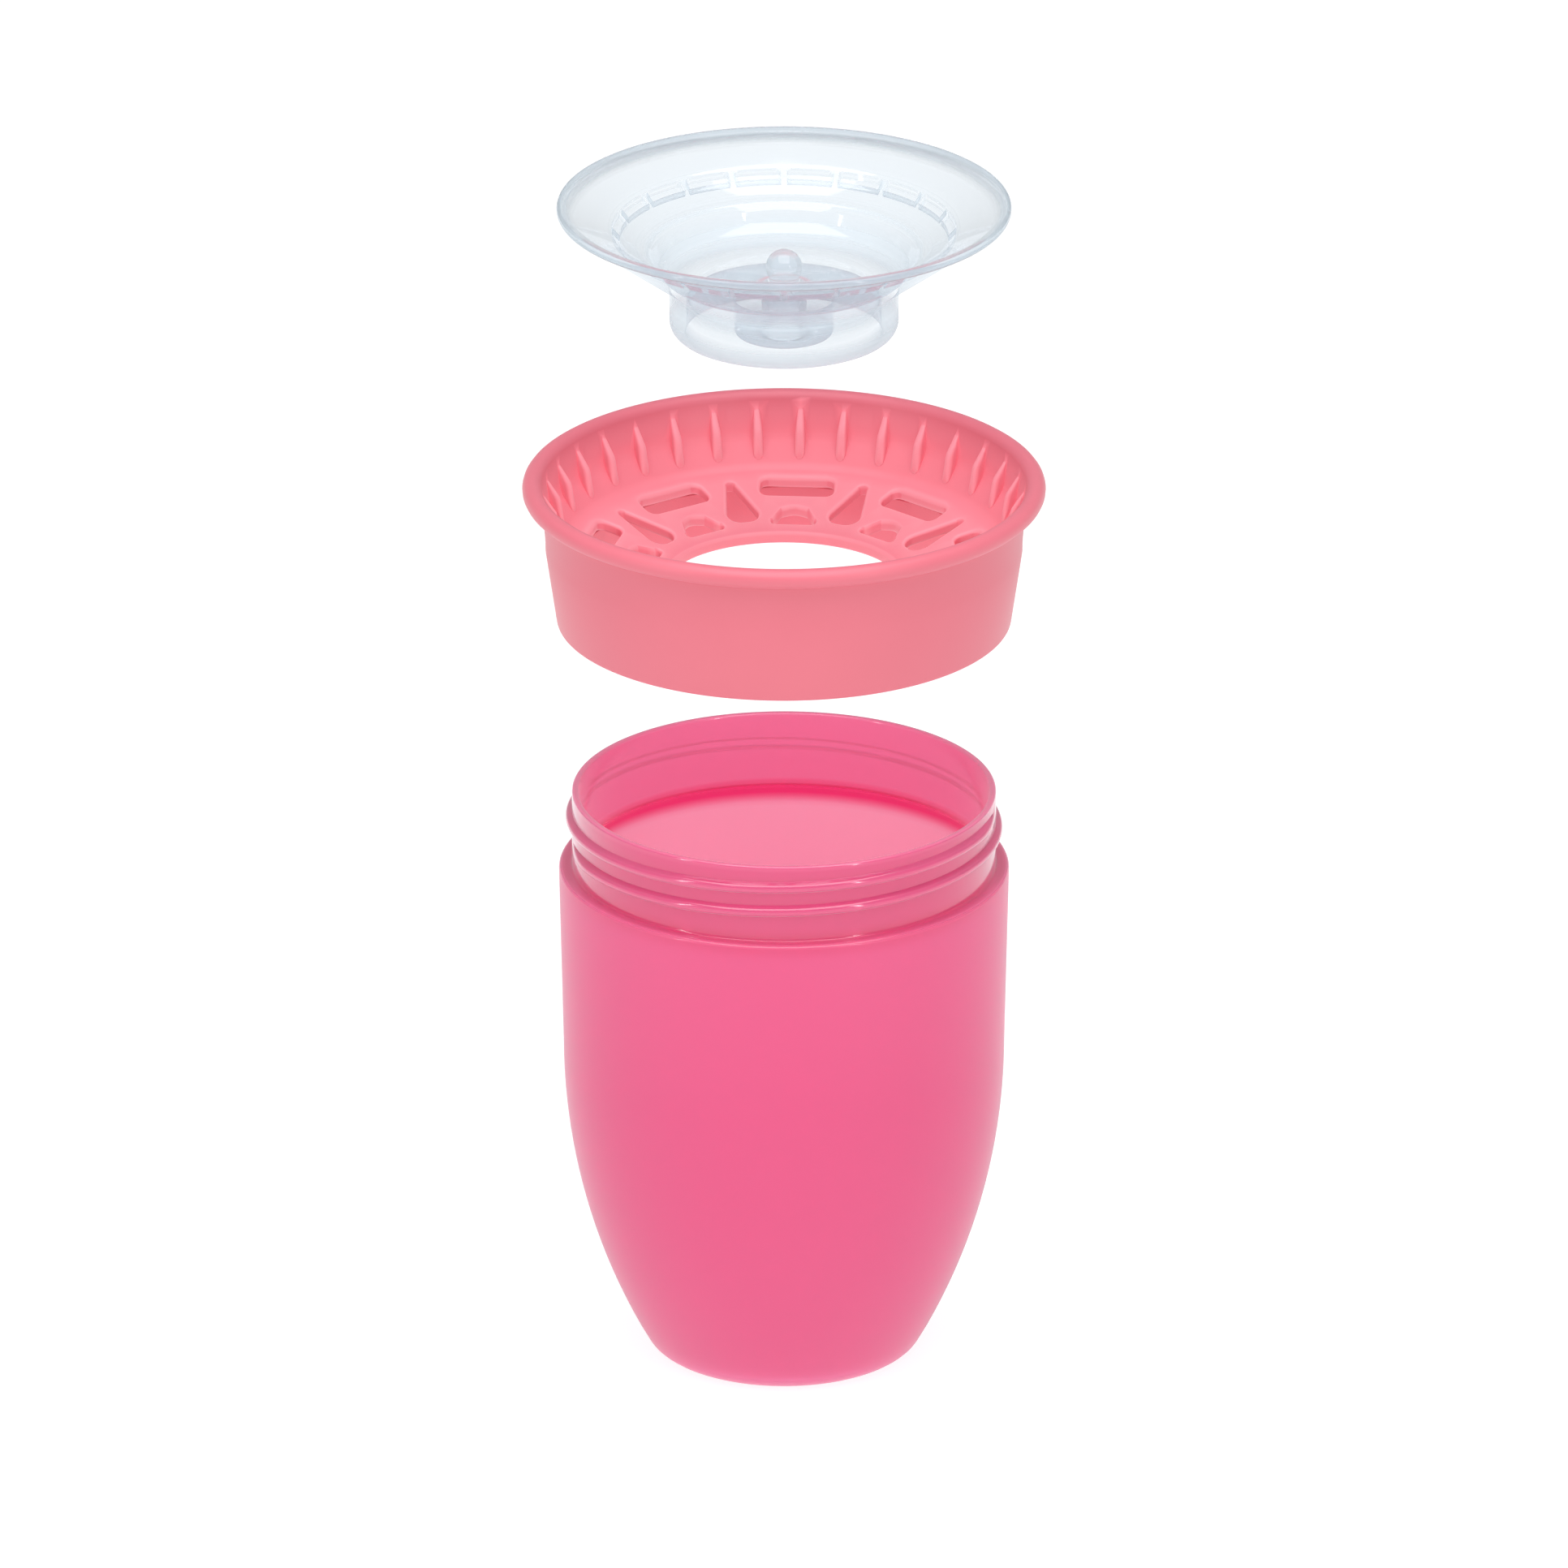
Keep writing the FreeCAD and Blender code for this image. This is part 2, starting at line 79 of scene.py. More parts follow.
# %% Drawing and spinning an outline
def draw_chain(mesh, corners, closed):
    points = [mesh.verts.new((radius, 0, height)) for radius, height, _ in corners]
    ends = points[1:] + points[:1] if closed else points[1:]
    for start, end in zip(points, ends):
        mesh.edges.new((start, end))
    roundings = sorted({cut for _, _, cut in corners if cut})
    for cut in roundings:
        soft = [point for point, corner in zip(points, corners) if corner[2] == cut]
        bmesh.ops.bevel(
            mesh, geom=soft, offset=cut, offset_type="OFFSET", affect="VERTICES",
            segments=6, profile=0.5, material=-1,
        )


def spin_chain(mesh, corners, closed=False, steps=ROUND):
    """Turn a chain of corners once round the axis and merge what meets."""
    ring = bmesh.new()
    draw_chain(ring, corners, closed)
    bmesh.ops.spin(
        ring, geom=ring.verts[:] + ring.edges[:], cent=(0, 0, 0), axis=(0, 0, 1),
        angle=math.tau, steps=steps, use_merge=True,
    )
    bmesh.ops.remove_doubles(ring, verts=ring.verts[:], dist=0.004)
    pour(ring, mesh)


def pour(part, whole):
    """Add one bmesh to another."""
    carrier = bpy.data.meshes.new("carrier")
    part.to_mesh(carrier)
    part.free()
    whole.from_mesh(carrier)
    bpy.data.meshes.remove(carrier)


# The materials use this mask to place painted light on surfaces that face inwards, and the valve's
# gloss.
def mark_inside(mesh, widest):
    """Record at every point within a radius how much it faces upwards or the axis, from 0 to 1."""
    inside = mesh.verts.layers.float.new("inside")
    mesh.normal_update()
    for point in mesh.verts:
        spot, normal = point.co, point.normal
        radius = math.hypot(spot.x, spot.y)
        if 0 < radius < widest:
            inwards = -(spot.x * normal.x + spot.y * normal.y) / radius
            point[inside] = max(0.0, min(1.0, 1.4 * max(inwards, normal.z)))


# The materials use this to place painted highlights on edges and the valve's painted shade rings.
def mark_bends(mesh, full_angle):
    """Record at every point how sharply the surface bends: 1 on an edge, -1 in a crease."""
    bend = mesh.verts.layers.float.new("bend")
    for point in mesh.verts:
        angle = max((edge.calc_face_angle_signed(0) for edge in point.link_edges), key=abs)
        point[bend] = max(-1.0, min(1.0, math.degrees(angle) / full_angle))


def finish_piece(mesh, name, body, node, sharp_above=40, inside_within=0, full_angle=18):
    """Make an object in metres of a bmesh in millimetres, facing outwards and shaded smooth."""
    bmesh.ops.recalc_face_normals(mesh, faces=mesh.faces[:])
    mark_inside(mesh, inside_within)
    mark_bends(mesh, full_angle)
    for face in mesh.faces:
        face.smooth = True
    for edge in mesh.edges:
        if len(edge.link_faces) == 2 and edge.calc_face_angle() > math.radians(sharp_above):
            edge.smooth = False
    print(name, len(mesh.faces), "faces,", count_open_edges(mesh), "open edges")
    bmesh.ops.scale(mesh, verts=mesh.verts[:], vec=(MM, MM, MM))
    data = bpy.data.meshes.new(name)
    mesh.to_mesh(data)
    mesh.free()
    piece = bpy.data.objects.new(name, data)
    bpy.context.scene.collection.objects.link(piece)
    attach(piece, body)
    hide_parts(node)
    return piece


def count_open_edges(mesh):
    return sum(1 for edge in mesh.edges if len(edge.link_faces) != 2)


def weld(whole, part):
    """The union of two closed bmeshes, as one closed bmesh."""
    print("welding", [(len(mesh.faces), count_open_edges(mesh)) for mesh in (whole, part)])
    pieces = []
    for mesh in (whole, part):
        bmesh.ops.recalc_face_normals(mesh, faces=mesh.faces[:])
        data = bpy.data.meshes.new("to_weld")
        mesh.to_mesh(data)
        mesh.free()
        pieces.append(bpy.data.objects.new("to_weld", data))
        bpy.context.scene.collection.objects.link(pieces[-1])
    union = pieces[0].modifiers.new("union", "BOOLEAN")
    union.operation, union.solver, union.object = "UNION", "EXACT", pieces[1]
    seen = pieces[0].evaluated_get(bpy.context.evaluated_depsgraph_get())
    welded = bmesh.new()
    welded.from_mesh(seen.to_mesh())
    seen.to_mesh_clear()
    for piece in pieces:
        data = piece.data
        bpy.data.objects.remove(piece)
        bpy.data.meshes.remove(data)
    return welded


# %% [markdown]
# ## The tumbler
# The cup is moulded thin and even: a wall of 1.6 mm that curves in to a small flat base. Its
# section is one closed chain that runs up the outside, over the lip and down the inside. The long
# curve of the side is a circular arc, so its points come from the circle's own formula.

# %% The cup's section
SIDE_RADIUS, SIDE_CURVE, CURVE_TOP = 33.5, 98.0, 50.0
CUP_WALL, CUP_FLOOR = 1.6, 2.0
SHOULDER_RADIUS, SHOULDER_HEIGHT = 34.15, cup_high.z - 12.1
NECK_RADIUS, MOUTH_RADIUS = 32.15, 31.1


def side_curve(wall, lowest, steps=22):
    """The curved side, set in by a wall, from its lowest height up to where it runs straight."""
    arc = SIDE_CURVE - wall
    heights = [lowest + (CURVE_TOP - lowest) * step / steps for step in range(steps + 1)]
    return [
        (SIDE_RADIUS - SIDE_CURVE + math.sqrt(arc ** 2 - (CURVE_TOP - height) ** 2), height, 0)
        for height in heights
    ]


outer_side = side_curve(0, 0)
inner_side = side_curve(CUP_WALL, CUP_FLOOR)
base_corner = (outer_side[0][0], 0, 2.4)
floor_corner = (inner_side[0][0], CUP_FLOOR, 2.2)
cup_section = (
    [(0, 0, 0), base_corner]
    + outer_side[2:]
    + [
        (SHOULDER_RADIUS, SHOULDER_HEIGHT, 0.6),
        (NECK_RADIUS, SHOULDER_HEIGHT, 0.35),
        (NECK_RADIUS, cup_high.z, 0.4),
        (MOUTH_RADIUS, cup_high.z, 0.4),
        (MOUTH_RADIUS, cup_high.z - 11, 0.8),
        (SIDE_RADIUS - CUP_WALL, cup_high.z - 13.4, 0.8),
    ]
    + inner_side[:1:-1]
    + [floor_corner, (0, CUP_FLOOR, 0)]
)
print(len(cup_section), "corners in the cup's section")

# %% [markdown]
# ## The screw thread
# The thread is a rounded ridge that climbs round the neck to the right. Spin does this too: with a
# small lift at every step the turned section becomes a helix. The ends of a moulded thread sink
# into the neck, so the first and last few sections are drawn in towards the axis.

# %% The cup's thread
THREAD_PITCH, THREAD_TURNS, THREAD_CREST = 3.8, 1.5, 0.98
THREAD_LOW = cup_high.z - 8.05
thread_section = [
    (NECK_RADIUS - 0.3, THREAD_LOW - 1.05, 0),
    (NECK_RADIUS + 0.05, THREAD_LOW - 0.95, 0.15),
    (NECK_RADIUS + THREAD_CREST, THREAD_LOW - 0.45, 0.4),
    (NECK_RADIUS + THREAD_CREST, THREAD_LOW + 0.45, 0.4),
    (NECK_RADIUS + 0.05, THREAD_LOW + 0.95, 0.15),
    (NECK_RADIUS - 0.3, THREAD_LOW + 1.05, 0),
]


def make_thread():
    ridge = bmesh.new()
    draw_chain(ridge, thread_section, closed=True)
    bmesh.ops.rotate(ridge, verts=ridge.verts[:], matrix=Matrix.Rotation(math.pi, 3, "Z"))
    steps = round(ROUND * THREAD_TURNS)
    bmesh.ops.spin(
        ridge, geom=ridge.verts[:] + ridge.edges[:], cent=(0, 0, 0), axis=(0, 0, 1),
        dvec=(0, 0, THREAD_PITCH / ROUND), angle=math.tau * THREAD_TURNS, steps=steps,
    )
    open_ends = [edge for edge in ridge.edges if edge.is_boundary]
    bmesh.ops.holes_fill(ridge, edges=open_ends, sides=0)
    taper_thread(ridge)
    return ridge


def taper_thread(ridge, length=14):
    """Sink the ridge's two ends into the neck over a length measured in millimetres."""
    climb = THREAD_PITCH / math.tau
    for point in ridge.verts:
        spot = point.co
        turned = math.atan2(-spot.y, -spot.x) % math.tau
        turns = round((spot.z - THREAD_LOW - climb * turned) / THREAD_PITCH)
        along = (turned + turns * math.tau) * NECK_RADIUS
        whole = THREAD_TURNS * math.tau * NECK_RADIUS
        near_end = max(0.0, min(1.0, min(along, whole - along) / length))
        ease = 0.16 + 0.84 * near_end * near_end * (3 - 2 * near_end)
        radius = math.hypot(spot.x, spot.y)
        shrink = (NECK_RADIUS - 0.3 + (radius - NECK_RADIUS + 0.3) * ease) / radius
        point.co.x *= shrink
        point.co.y *= shrink


cup_mesh = bmesh.new()
spin_chain(cup_mesh, cup_section)
cup_mesh = weld(cup_mesh, make_thread())
cup = finish_piece(
    cup_mesh, "tumbler", "cup", "cup_body",
    inside_within=NECK_RADIUS - 0.1,
)

# %% [markdown]
# ## The drinking collar
# The collar is a ring with a sloping floor full of holes. The ring is a lathe shape. The floor is
# filled flat between its outer edge, its central opening and the outlines of 27 holes, given its
# rounded hole edges by bridging one outline to the next, and only then tipped into its shallow
# cone, which keeps every hole's outline simple.

# %% The collar's ring
COLLAR = collar_low.z
RIM_RADIUS, RIM_HEIGHT, ROLL = 38.0, 21.2, 1.5
BORE_RADIUS, SEAL_RADIUS, SOCKET_DEPTH = 33.35, 30.9, 10.35
OPENING_RADIUS, PLATE_HEIGHT, PLATE_WALL, PLATE_SLOPE = 17.6, 7.1, 1.8, math.tan(math.radians(17.3))
UPPER_LEAN, KNEE_DROP = 10, 5.4
FLOOR_OUTER, UNDER_OUTER, OPENING_EDGE = 31.9, 30.7, OPENING_RADIUS + 0.5


def plate_top(radius):
    return PLATE_HEIGHT + (radius - OPENING_RADIUS) * PLATE_SLOPE


def roll(first, last, steps=14):
    """Points round the rolled rim between two angles in degrees."""
    angles = [math.radians(first + (last - first) * step / steps) for step in range(steps + 1)]
    return [(RIM_RADIUS + ROLL * math.cos(a), RIM_HEIGHT + ROLL * math.sin(a), 0) for a in angles]


def flare(steps=8):
    """The outside above the socket, which flares out to the rolled rim."""
    low, high = Vector((36.0, 11.5)), Vector((37.1, 19.75))
    bow = 0.28
    spans = [step / steps for step in range(steps + 1)]
    return [
        (low.x + (high.x - low.x) * s - bow * 4 * s * (1 - s), low.y + (high.y - low.y) * s, 0)
        for s in spans
    ]


rim_points = roll(-118, 180 - UPPER_LEAN)
wall_top = rim_points[-1]
knee = (wall_top[0] - KNEE_DROP * math.tan(math.radians(UPPER_LEAN)), wall_top[1] - KNEE_DROP, 0.9)
CREASE_RADIUS = 32.95
crease = (CREASE_RADIUS, plate_top(CREASE_RADIUS), 0.95)
ring_section = (
    [(UNDER_OUTER, plate_top(UNDER_OUTER) - PLATE_WALL, 0)]
    + [(SEAL_RADIUS, plate_top(SEAL_RADIUS) - PLATE_WALL, 0), (SEAL_RADIUS, SOCKET_DEPTH, 0.15)]
    + [(BORE_RADIUS, SOCKET_DEPTH, 0.2), (BORE_RADIUS, 0, 0.25), (BORE_RADIUS + 0.95, 0, 0.5)]
    + flare()
    + rim_points
    + [knee, crease, (FLOOR_OUTER, plate_top(FLOOR_OUTER), 0)]
)
central_edge = [
    (OPENING_EDGE, plate_top(OPENING_EDGE), 0),
    (OPENING_RADIUS, PLATE_HEIGHT, 0.45),
    (OPENING_RADIUS, PLATE_HEIGHT - PLATE_WALL, 0.45),
    (OPENING_EDGE, plate_top(OPENING_EDGE) - PLATE_WALL, 0),
]
print("the wall bends", round(knee[1], 2), "mm above the collar's edge")

# %% [markdown]
# ## The collar's holes
# Slots, half-moons and teardrops all are a few arcs joined by tangents. Each outline is worked out
# from corner circles: the outline that lies a given distance outside the hole is the same shape
# with larger circles, so one function gives the hole and the wider rings that round its edge off.

# %% The outlines of the holes
OPENINGS = 9


def hull_outline(circles, grow, count):
    """Points round a string of circles (x, y, radius), in order, grown by a distance."""
    points = []
    for index, (x, y, radius) in enumerate(circles):
        last_x, last_y, _ = circles[index - 1]
        next_x, next_y, _ = circles[(index + 1) % len(circles)]
        first = math.atan2(y - last_y, x - last_x) - math.pi / 2
        final = math.atan2(next_y - y, next_x - x) - math.pi / 2
        sweep = (final - first) % math.tau
        for step in range(count + 1):
            angle = first + sweep * step / count
            reach = radius + grow
            points.append((x + reach * math.cos(angle), y + reach * math.sin(angle)))
    return points


slot_circles = [(27.6, -4.4, 1.2), (29.1, -4.4, 1.2), (29.1, 4.4, 1.2), (27.6, 4.4, 1.2)]
moon_circles = [
    (20.35, -2.8, 0.5), (21.4, -0.96, 2.0), (21.8, 0, 2.0), (21.4, 0.96, 2.0), (20.35, 2.8, 0.5)
]
drop_circles = [(22.7, -0.6, 1.8), (29.35, 0, 0.65), (22.7, 0.6, 1.8)]
holes = [(slot_circles, 0, 6), (moon_circles, 0, 6), (drop_circles, 180 / OPENINGS, 8)]
EDGE_ROUND = 0.6
edge_steps = [math.radians(18 * step) for step in range(6)]
edge_rings = [(EDGE_ROUND * (1 - math.sin(a)), -EDGE_ROUND * (1 - math.cos(a))) for a in edge_steps]
under_rings = [(grow, -PLATE_WALL - drop) for grow, drop in reversed(edge_rings)]
print(len(holes) * OPENINGS, "holes, each with", len(edge_rings + under_rings), "rings")


# %% Making the pierced floor
def draw_loop(mesh, points, height):
    corners = [mesh.verts.new((x, y, height)) for x, y in points]
    return [mesh.edges.new(pair) for pair in zip(corners, corners[1:] + corners[:1])]


def circle_points(radius):
    return [
        (radius * math.cos(math.tau * k / ROUND), radius * math.sin(math.tau * k / ROUND))
        for k in range(ROUND)
    ]


def turn_points(points, degrees):
    c, s = math.cos(math.radians(degrees)), math.sin(math.radians(degrees))
    return [(x * c - y * s, x * s + y * c) for x, y in points]


def fill_between(mesh, loops, facing):
    edges = [edge for loop in loops for edge in loop]
    bmesh.ops.triangle_fill(
        mesh, use_beauty=True, use_dissolve=False, edges=edges, normal=(0, 0, facing)
    )


def make_floor():
    floor = bmesh.new()
    top_loops = [draw_loop(floor, circle_points(r), 0) for r in (FLOOR_OUTER, OPENING_EDGE)]
    under_loops = [
        draw_loop(floor, circle_points(r), -PLATE_WALL) for r in (UNDER_OUTER, OPENING_EDGE)
    ]
    for turn in range(OPENINGS):
        for circles, offset, count in holes:
            turned = offset + turn * 360 / OPENINGS
            rings = []
            for grow, drop in edge_rings + under_rings:
                outline = turn_points(hull_outline(circles, grow, count), turned)
                rings.append(draw_loop(floor, outline, drop))
            for upper, lower in zip(rings, rings[1:]):
                bmesh.ops.bridge_loops(floor, edges=upper + lower)
            top_loops.append(rings[0])
            under_loops.append(rings[-1])
    fill_between(floor, top_loops, 1)
    fill_between(floor, under_loops, -1)
    for point in floor.verts:
        point.co.z += plate_top(math.hypot(point.co.x, point.co.y))
    return floor


# %% [markdown]
# ## The collar's ribs
# The ribs that keep the valve off the wall are slim fins. A fin is lofted: U-shaped loops are drawn
# one above the other, narrow and shallow at the top, deep in the middle and rounded off at the
# foot, and bridge_loops makes the skin between them. Duplicates of the first fin are turned round
# the wall. Every fin starts a little inside the wall, so the two can be welded.

# %% Making the ribs
RIBS = 34


def wall_radius(height):
    """Inner radius of the wall, which bends at the knee."""
    upper, lower = (wall_top, knee) if height > knee[1] else (knee, crease)
    return lower[0] + (upper[0] - lower[0]) * (height - lower[1]) / (upper[1] - lower[1])


rib_loops = [  # height, half the width, radius of the crest
    (20.6, 0.28, wall_radius(20.6) + 0.05),
    (20.0, 0.42, wall_radius(20.0) - 0.25),
    (18.6, 0.62, wall_radius(18.6) - 0.95),
    (17.5, 0.75, 34.32),
    (16.8, 0.80, 34.12),
    (15.4, 0.82, 33.92),
    (14.0, 0.80, 33.70),
    (13.4, 0.72, 33.62),
    (13.05, 0.52, 33.60),
    (12.9, 0.30, 33.64),
]


def rib_loop(mesh, height, half_width, crest, steps=10):
    back = wall_radius(height) + 0.3
    angles = [math.radians(-90 + 180 * step / steps) for step in range(steps + 1)]
    return draw_loop(
        mesh,
        [(back - (back - crest) * math.cos(a) ** 0.45, half_width * math.sin(a)) for a in angles],
        height,
    )


def make_ribs():
    ribs = bmesh.new()
    loops = [rib_loop(ribs, *loop) for loop in rib_loops]
    for upper, lower in zip(loops, loops[1:]):
        bmesh.ops.bridge_loops(ribs, edges=upper + lower)
    bmesh.ops.contextual_create(ribs, geom=loops[0])
    bmesh.ops.contextual_create(ribs, geom=loops[-1])
    print("a rib has", len(ribs.faces), "faces and", count_open_edges(ribs), "open edges")
    one = ribs.verts[:] + ribs.edges[:] + ribs.faces[:]
    for turn in range(1, RIBS):
        copy = bmesh.ops.duplicate(ribs, geom=one)["geom"]
        points = [item for item in copy if isinstance(item, bmesh.types.BMVert)]
        step = Matrix.Rotation(math.tau * turn / RIBS, 3, "Z")
        bmesh.ops.rotate(ribs, verts=points, matrix=step)
    return ribs


collar_mesh = bmesh.new()
spin_chain(collar_mesh, ring_section)
spin_chain(collar_mesh, central_edge)
pour(make_floor(), collar_mesh)
bmesh.ops.remove_doubles(collar_mesh, verts=collar_mesh.verts[:], dist=0.01)
print("collar", count_open_edges(collar_mesh), "open edges before the ribs")
collar_mesh = weld(collar_mesh, make_ribs())
collar_turned = Matrix.Rotation(math.radians(86), 3, "Z")
bmesh.ops.rotate(collar_mesh, verts=collar_mesh.verts[:], matrix=collar_turned)
bmesh.ops.translate(collar_mesh, verts=collar_mesh.verts[:], vec=(0, 0, COLLAR))
collar = finish_piece(
    collar_mesh, "rolled_rim_collar", "collar", "drinking_collar",
    inside_within=wall_top[0],
)

# %% [markdown]
# ## The silicone valve
# The valve is one soft moulding. Its section is a closed chain that starts at the knob, crosses the
# well and the dish to the thin rim and comes back underneath to the plug that pushes into the
# collar. Silicone has no sharp edges, so every corner is rounded by its own amount.

# %% The valve's section
TOP = valve_high.z
PLUG_RADIUS, PLUG_WALL = 17.25, 2.6


def below(radius, drop, rounding=0.0):
    return (radius, TOP - drop, rounding)


knob_curve = [
    below(2.75 * math.sin(a), 7.3 + 2.75 * (1 - math.cos(a)))
    for a in (math.radians(degrees) for degrees in range(0, 121, 12))
]
valve_section = (
    knob_curve
    + [below(2.25, 11.9, 0.3), below(3.3, 12.8, 0.45), below(13.3, 12.8, 0.9)]
    + [below(18.6, 11.0, 1.2), below(19.9, 8.3, 0.25), below(20.6, 7.3, 0.3), below(22.0, 6.9, 0.5)]
    + [below(24.5, 5.4, 0.5), below(26.1, 3.6, 0.5), below(32.2, 0.45, 0.5)]
    + [below(33.0, 0.0, 0.45), below(34.2, 0.0, 0.55), below(34.2, 1.2, 0.55)]
    + [below(32.9, 1.35, 0.5), below(30.6, 3.0, 1.5), below(PLUG_RADIUS, 12.7, 0.5)]
    + [below(PLUG_RADIUS, 20.6, 2.3), below(PLUG_RADIUS - PLUG_WALL, 20.6, 0.4)]
    + [below(PLUG_RADIUS - PLUG_WALL, 14.6, 0.8), below(7.4, 14.6, 0.8), below(7.4, 20.6, 0.6)]
    + [below(3.4, 20.6, 0.5), below(3.4, 14.4, 1.2), below(0, 14.4)]
)

# %% [markdown]
# ## The valve's pockets
# Twenty shallow pockets run round the steep band between the dish and the well. The band is a ring
# of quads, so a pocket is a patch of them pushed down with the extrude operator, and the columns
# left standing between the patches are the ribs.

# %% Making the valve
POCKETS, COLUMNS = 20, 9
POCKET_DEPTH = 1.0


def on_band(face):
    middle = face.calc_center_median()
    radius = math.hypot(middle.x, middle.y)
    return 24.7 < radius < 25.9 and face.normal.z > 0.3


def sink_pockets(mesh):
    mesh.normal_update()
    step = math.tau / (POCKETS * COLUMNS)
    patches = {}
    for face in filter(on_band, mesh.faces):
        middle = face.calc_center_median()
        column = int(math.atan2(middle.y, middle.x) % math.tau / step)
        if column % COLUMNS:
            patches.setdefault(column // COLUMNS, []).append(face)
    for patch in patches.values():
        pushed = bmesh.ops.extrude_face_region(mesh, geom=patch)["geom"]
        moved = [item for item in pushed if isinstance(item, bmesh.types.BMVert)]
        bmesh.ops.delete(mesh, geom=patch, context="FACES")
        bmesh.ops.translate(mesh, verts=moved, vec=(0, 0, -POCKET_DEPTH))
    print(len(patches), "pockets")


valve_mesh = bmesh.new()
spin_chain(valve_mesh, valve_section, steps=POCKETS * COLUMNS)
bmesh.ops.recalc_face_normals(valve_mesh, faces=valve_mesh.faces[:])
sink_pockets(valve_mesh)
half_column = math.pi / (POCKETS * COLUMNS)
bmesh.ops.rotate(
    valve_mesh, verts=valve_mesh.verts[:], matrix=Matrix.Rotation(math.pi / 2 - half_column, 3, "Z")
)
valve = finish_piece(
    valve_mesh, "silicone_valve", "valve_disc", "valve", 60,
    inside_within=40, full_angle=7,
)

# %% [markdown]
# ## Materials
# Node graphs read best as sums, so a small class wraps a socket and lets Python's own operators
# add the Math nodes. Every other node is made by one method.

# %% A wrapper for shader maths
class Graph:
    def __init__(self, name):
        self.material = bpy.data.materials.new(name)
        self.material.use_nodes = True
        self.tree = self.material.node_tree
        self.shader = self.tree.nodes["Principled BSDF"]

    def node(self, kind, settings=None, out=0, slots=None, **inputs):
        made = self.tree.nodes.new(kind)
        for key, setting in (settings or {}).items():
            setattr(made, key, setting)
        for number, given in (slots or {}).items():
            self.feed(made.inputs[number], given)
        for key, given in inputs.items():
            self.feed(made.inputs[key.replace("_", " ")], given)
        return Wire(self, made.outputs[out])

    def math(self, operation, *values):
        made = self.tree.nodes.new("ShaderNodeMath")
        made.operation = operation
        for socket, given in zip(made.inputs, values):
            self.feed(socket, given)
        return Wire(self, made.outputs[0])

    def feed(self, socket, given):
        if isinstance(given, Wire):
            self.tree.links.new(given.socket, socket)
        else:
            socket.default_value = given

    def mix(self, factor, one, other):
        made = self.tree.nodes.new("ShaderNodeMix")
        made.data_type = "RGBA"
        for number, given in ((0, factor), (6, one), (7, other)):
            self.feed(made.inputs[number], given)
        return Wire(self, made.outputs[2])

    def blend(self, factor, one, other):
        return self.node("ShaderNodeMixShader", slots={0: factor, 1: one, 2: other})

    def set(self, **inputs):
        for key, given in inputs.items():
            self.feed(self.shader.inputs[key.replace("_", " ")], given)


class Wire:
    def __init__(self, graph, socket):
        self.graph, self.socket = graph, socket

    def __add__(self, other):
        return self.graph.math("ADD", self, other)

    def __sub__(self, other):
        return self.graph.math("SUBTRACT", self, other)

    def __rsub__(self, other):
        return self.graph.math("SUBTRACT", other, self)

    def __mul__(self, other):
        return self.graph.math("MULTIPLY", self, other)

    __radd__, __rmul__ = __add__, __mul__


def object_place(graph):
    return graph.node("ShaderNodeTexCoord", out=3)


def recorded(graph, attribute):
    """A number that was recorded on the piece's points."""
    return graph.node("ShaderNodeAttribute", {"attribute_name": attribute}, out=2)


def ramp(graph, value, low, high):
    """0 where a length is low and 1 where it is high, with both ends in millimetres."""
    ends = {"From_Min": low * MM, "From_Max": high * MM}
    return graph.node("ShaderNodeMapRange", {"clamp": True}, Value=value, **ends)


def height_of(graph):
    """Height above the floor in metres."""
    place = object_place(graph)
    return graph.node("ShaderNodeSeparateXYZ", out=2, Vector=place)


# %% [markdown]
# ## Pink translucent polypropylene
# The tumbler lets light through. Half of its base is transmission. The surfaces that face inwards
# carry painted light for the light that comes through the wall behind them: a lighter base colour
# and a small emission, paler below the neck, with a painted shade of deeper, darker pink in the
# crease between the two. Convex edges carry a painted highlight in the emission. The body has the
# fine sparked texture of its mould, while the neck above the shoulder is polished: one mask made
# from the height switches roughness, coat and bump.

# %% The tumbler's plastic
BLACK = (0, 0, 0, 1)
SHEEN_TINT = (1, 0.95, 0.97, 1)
NECK_FOOT, CREASE_MIDDLE = cup_high.z - 13.2, cup_high.z - 12.6


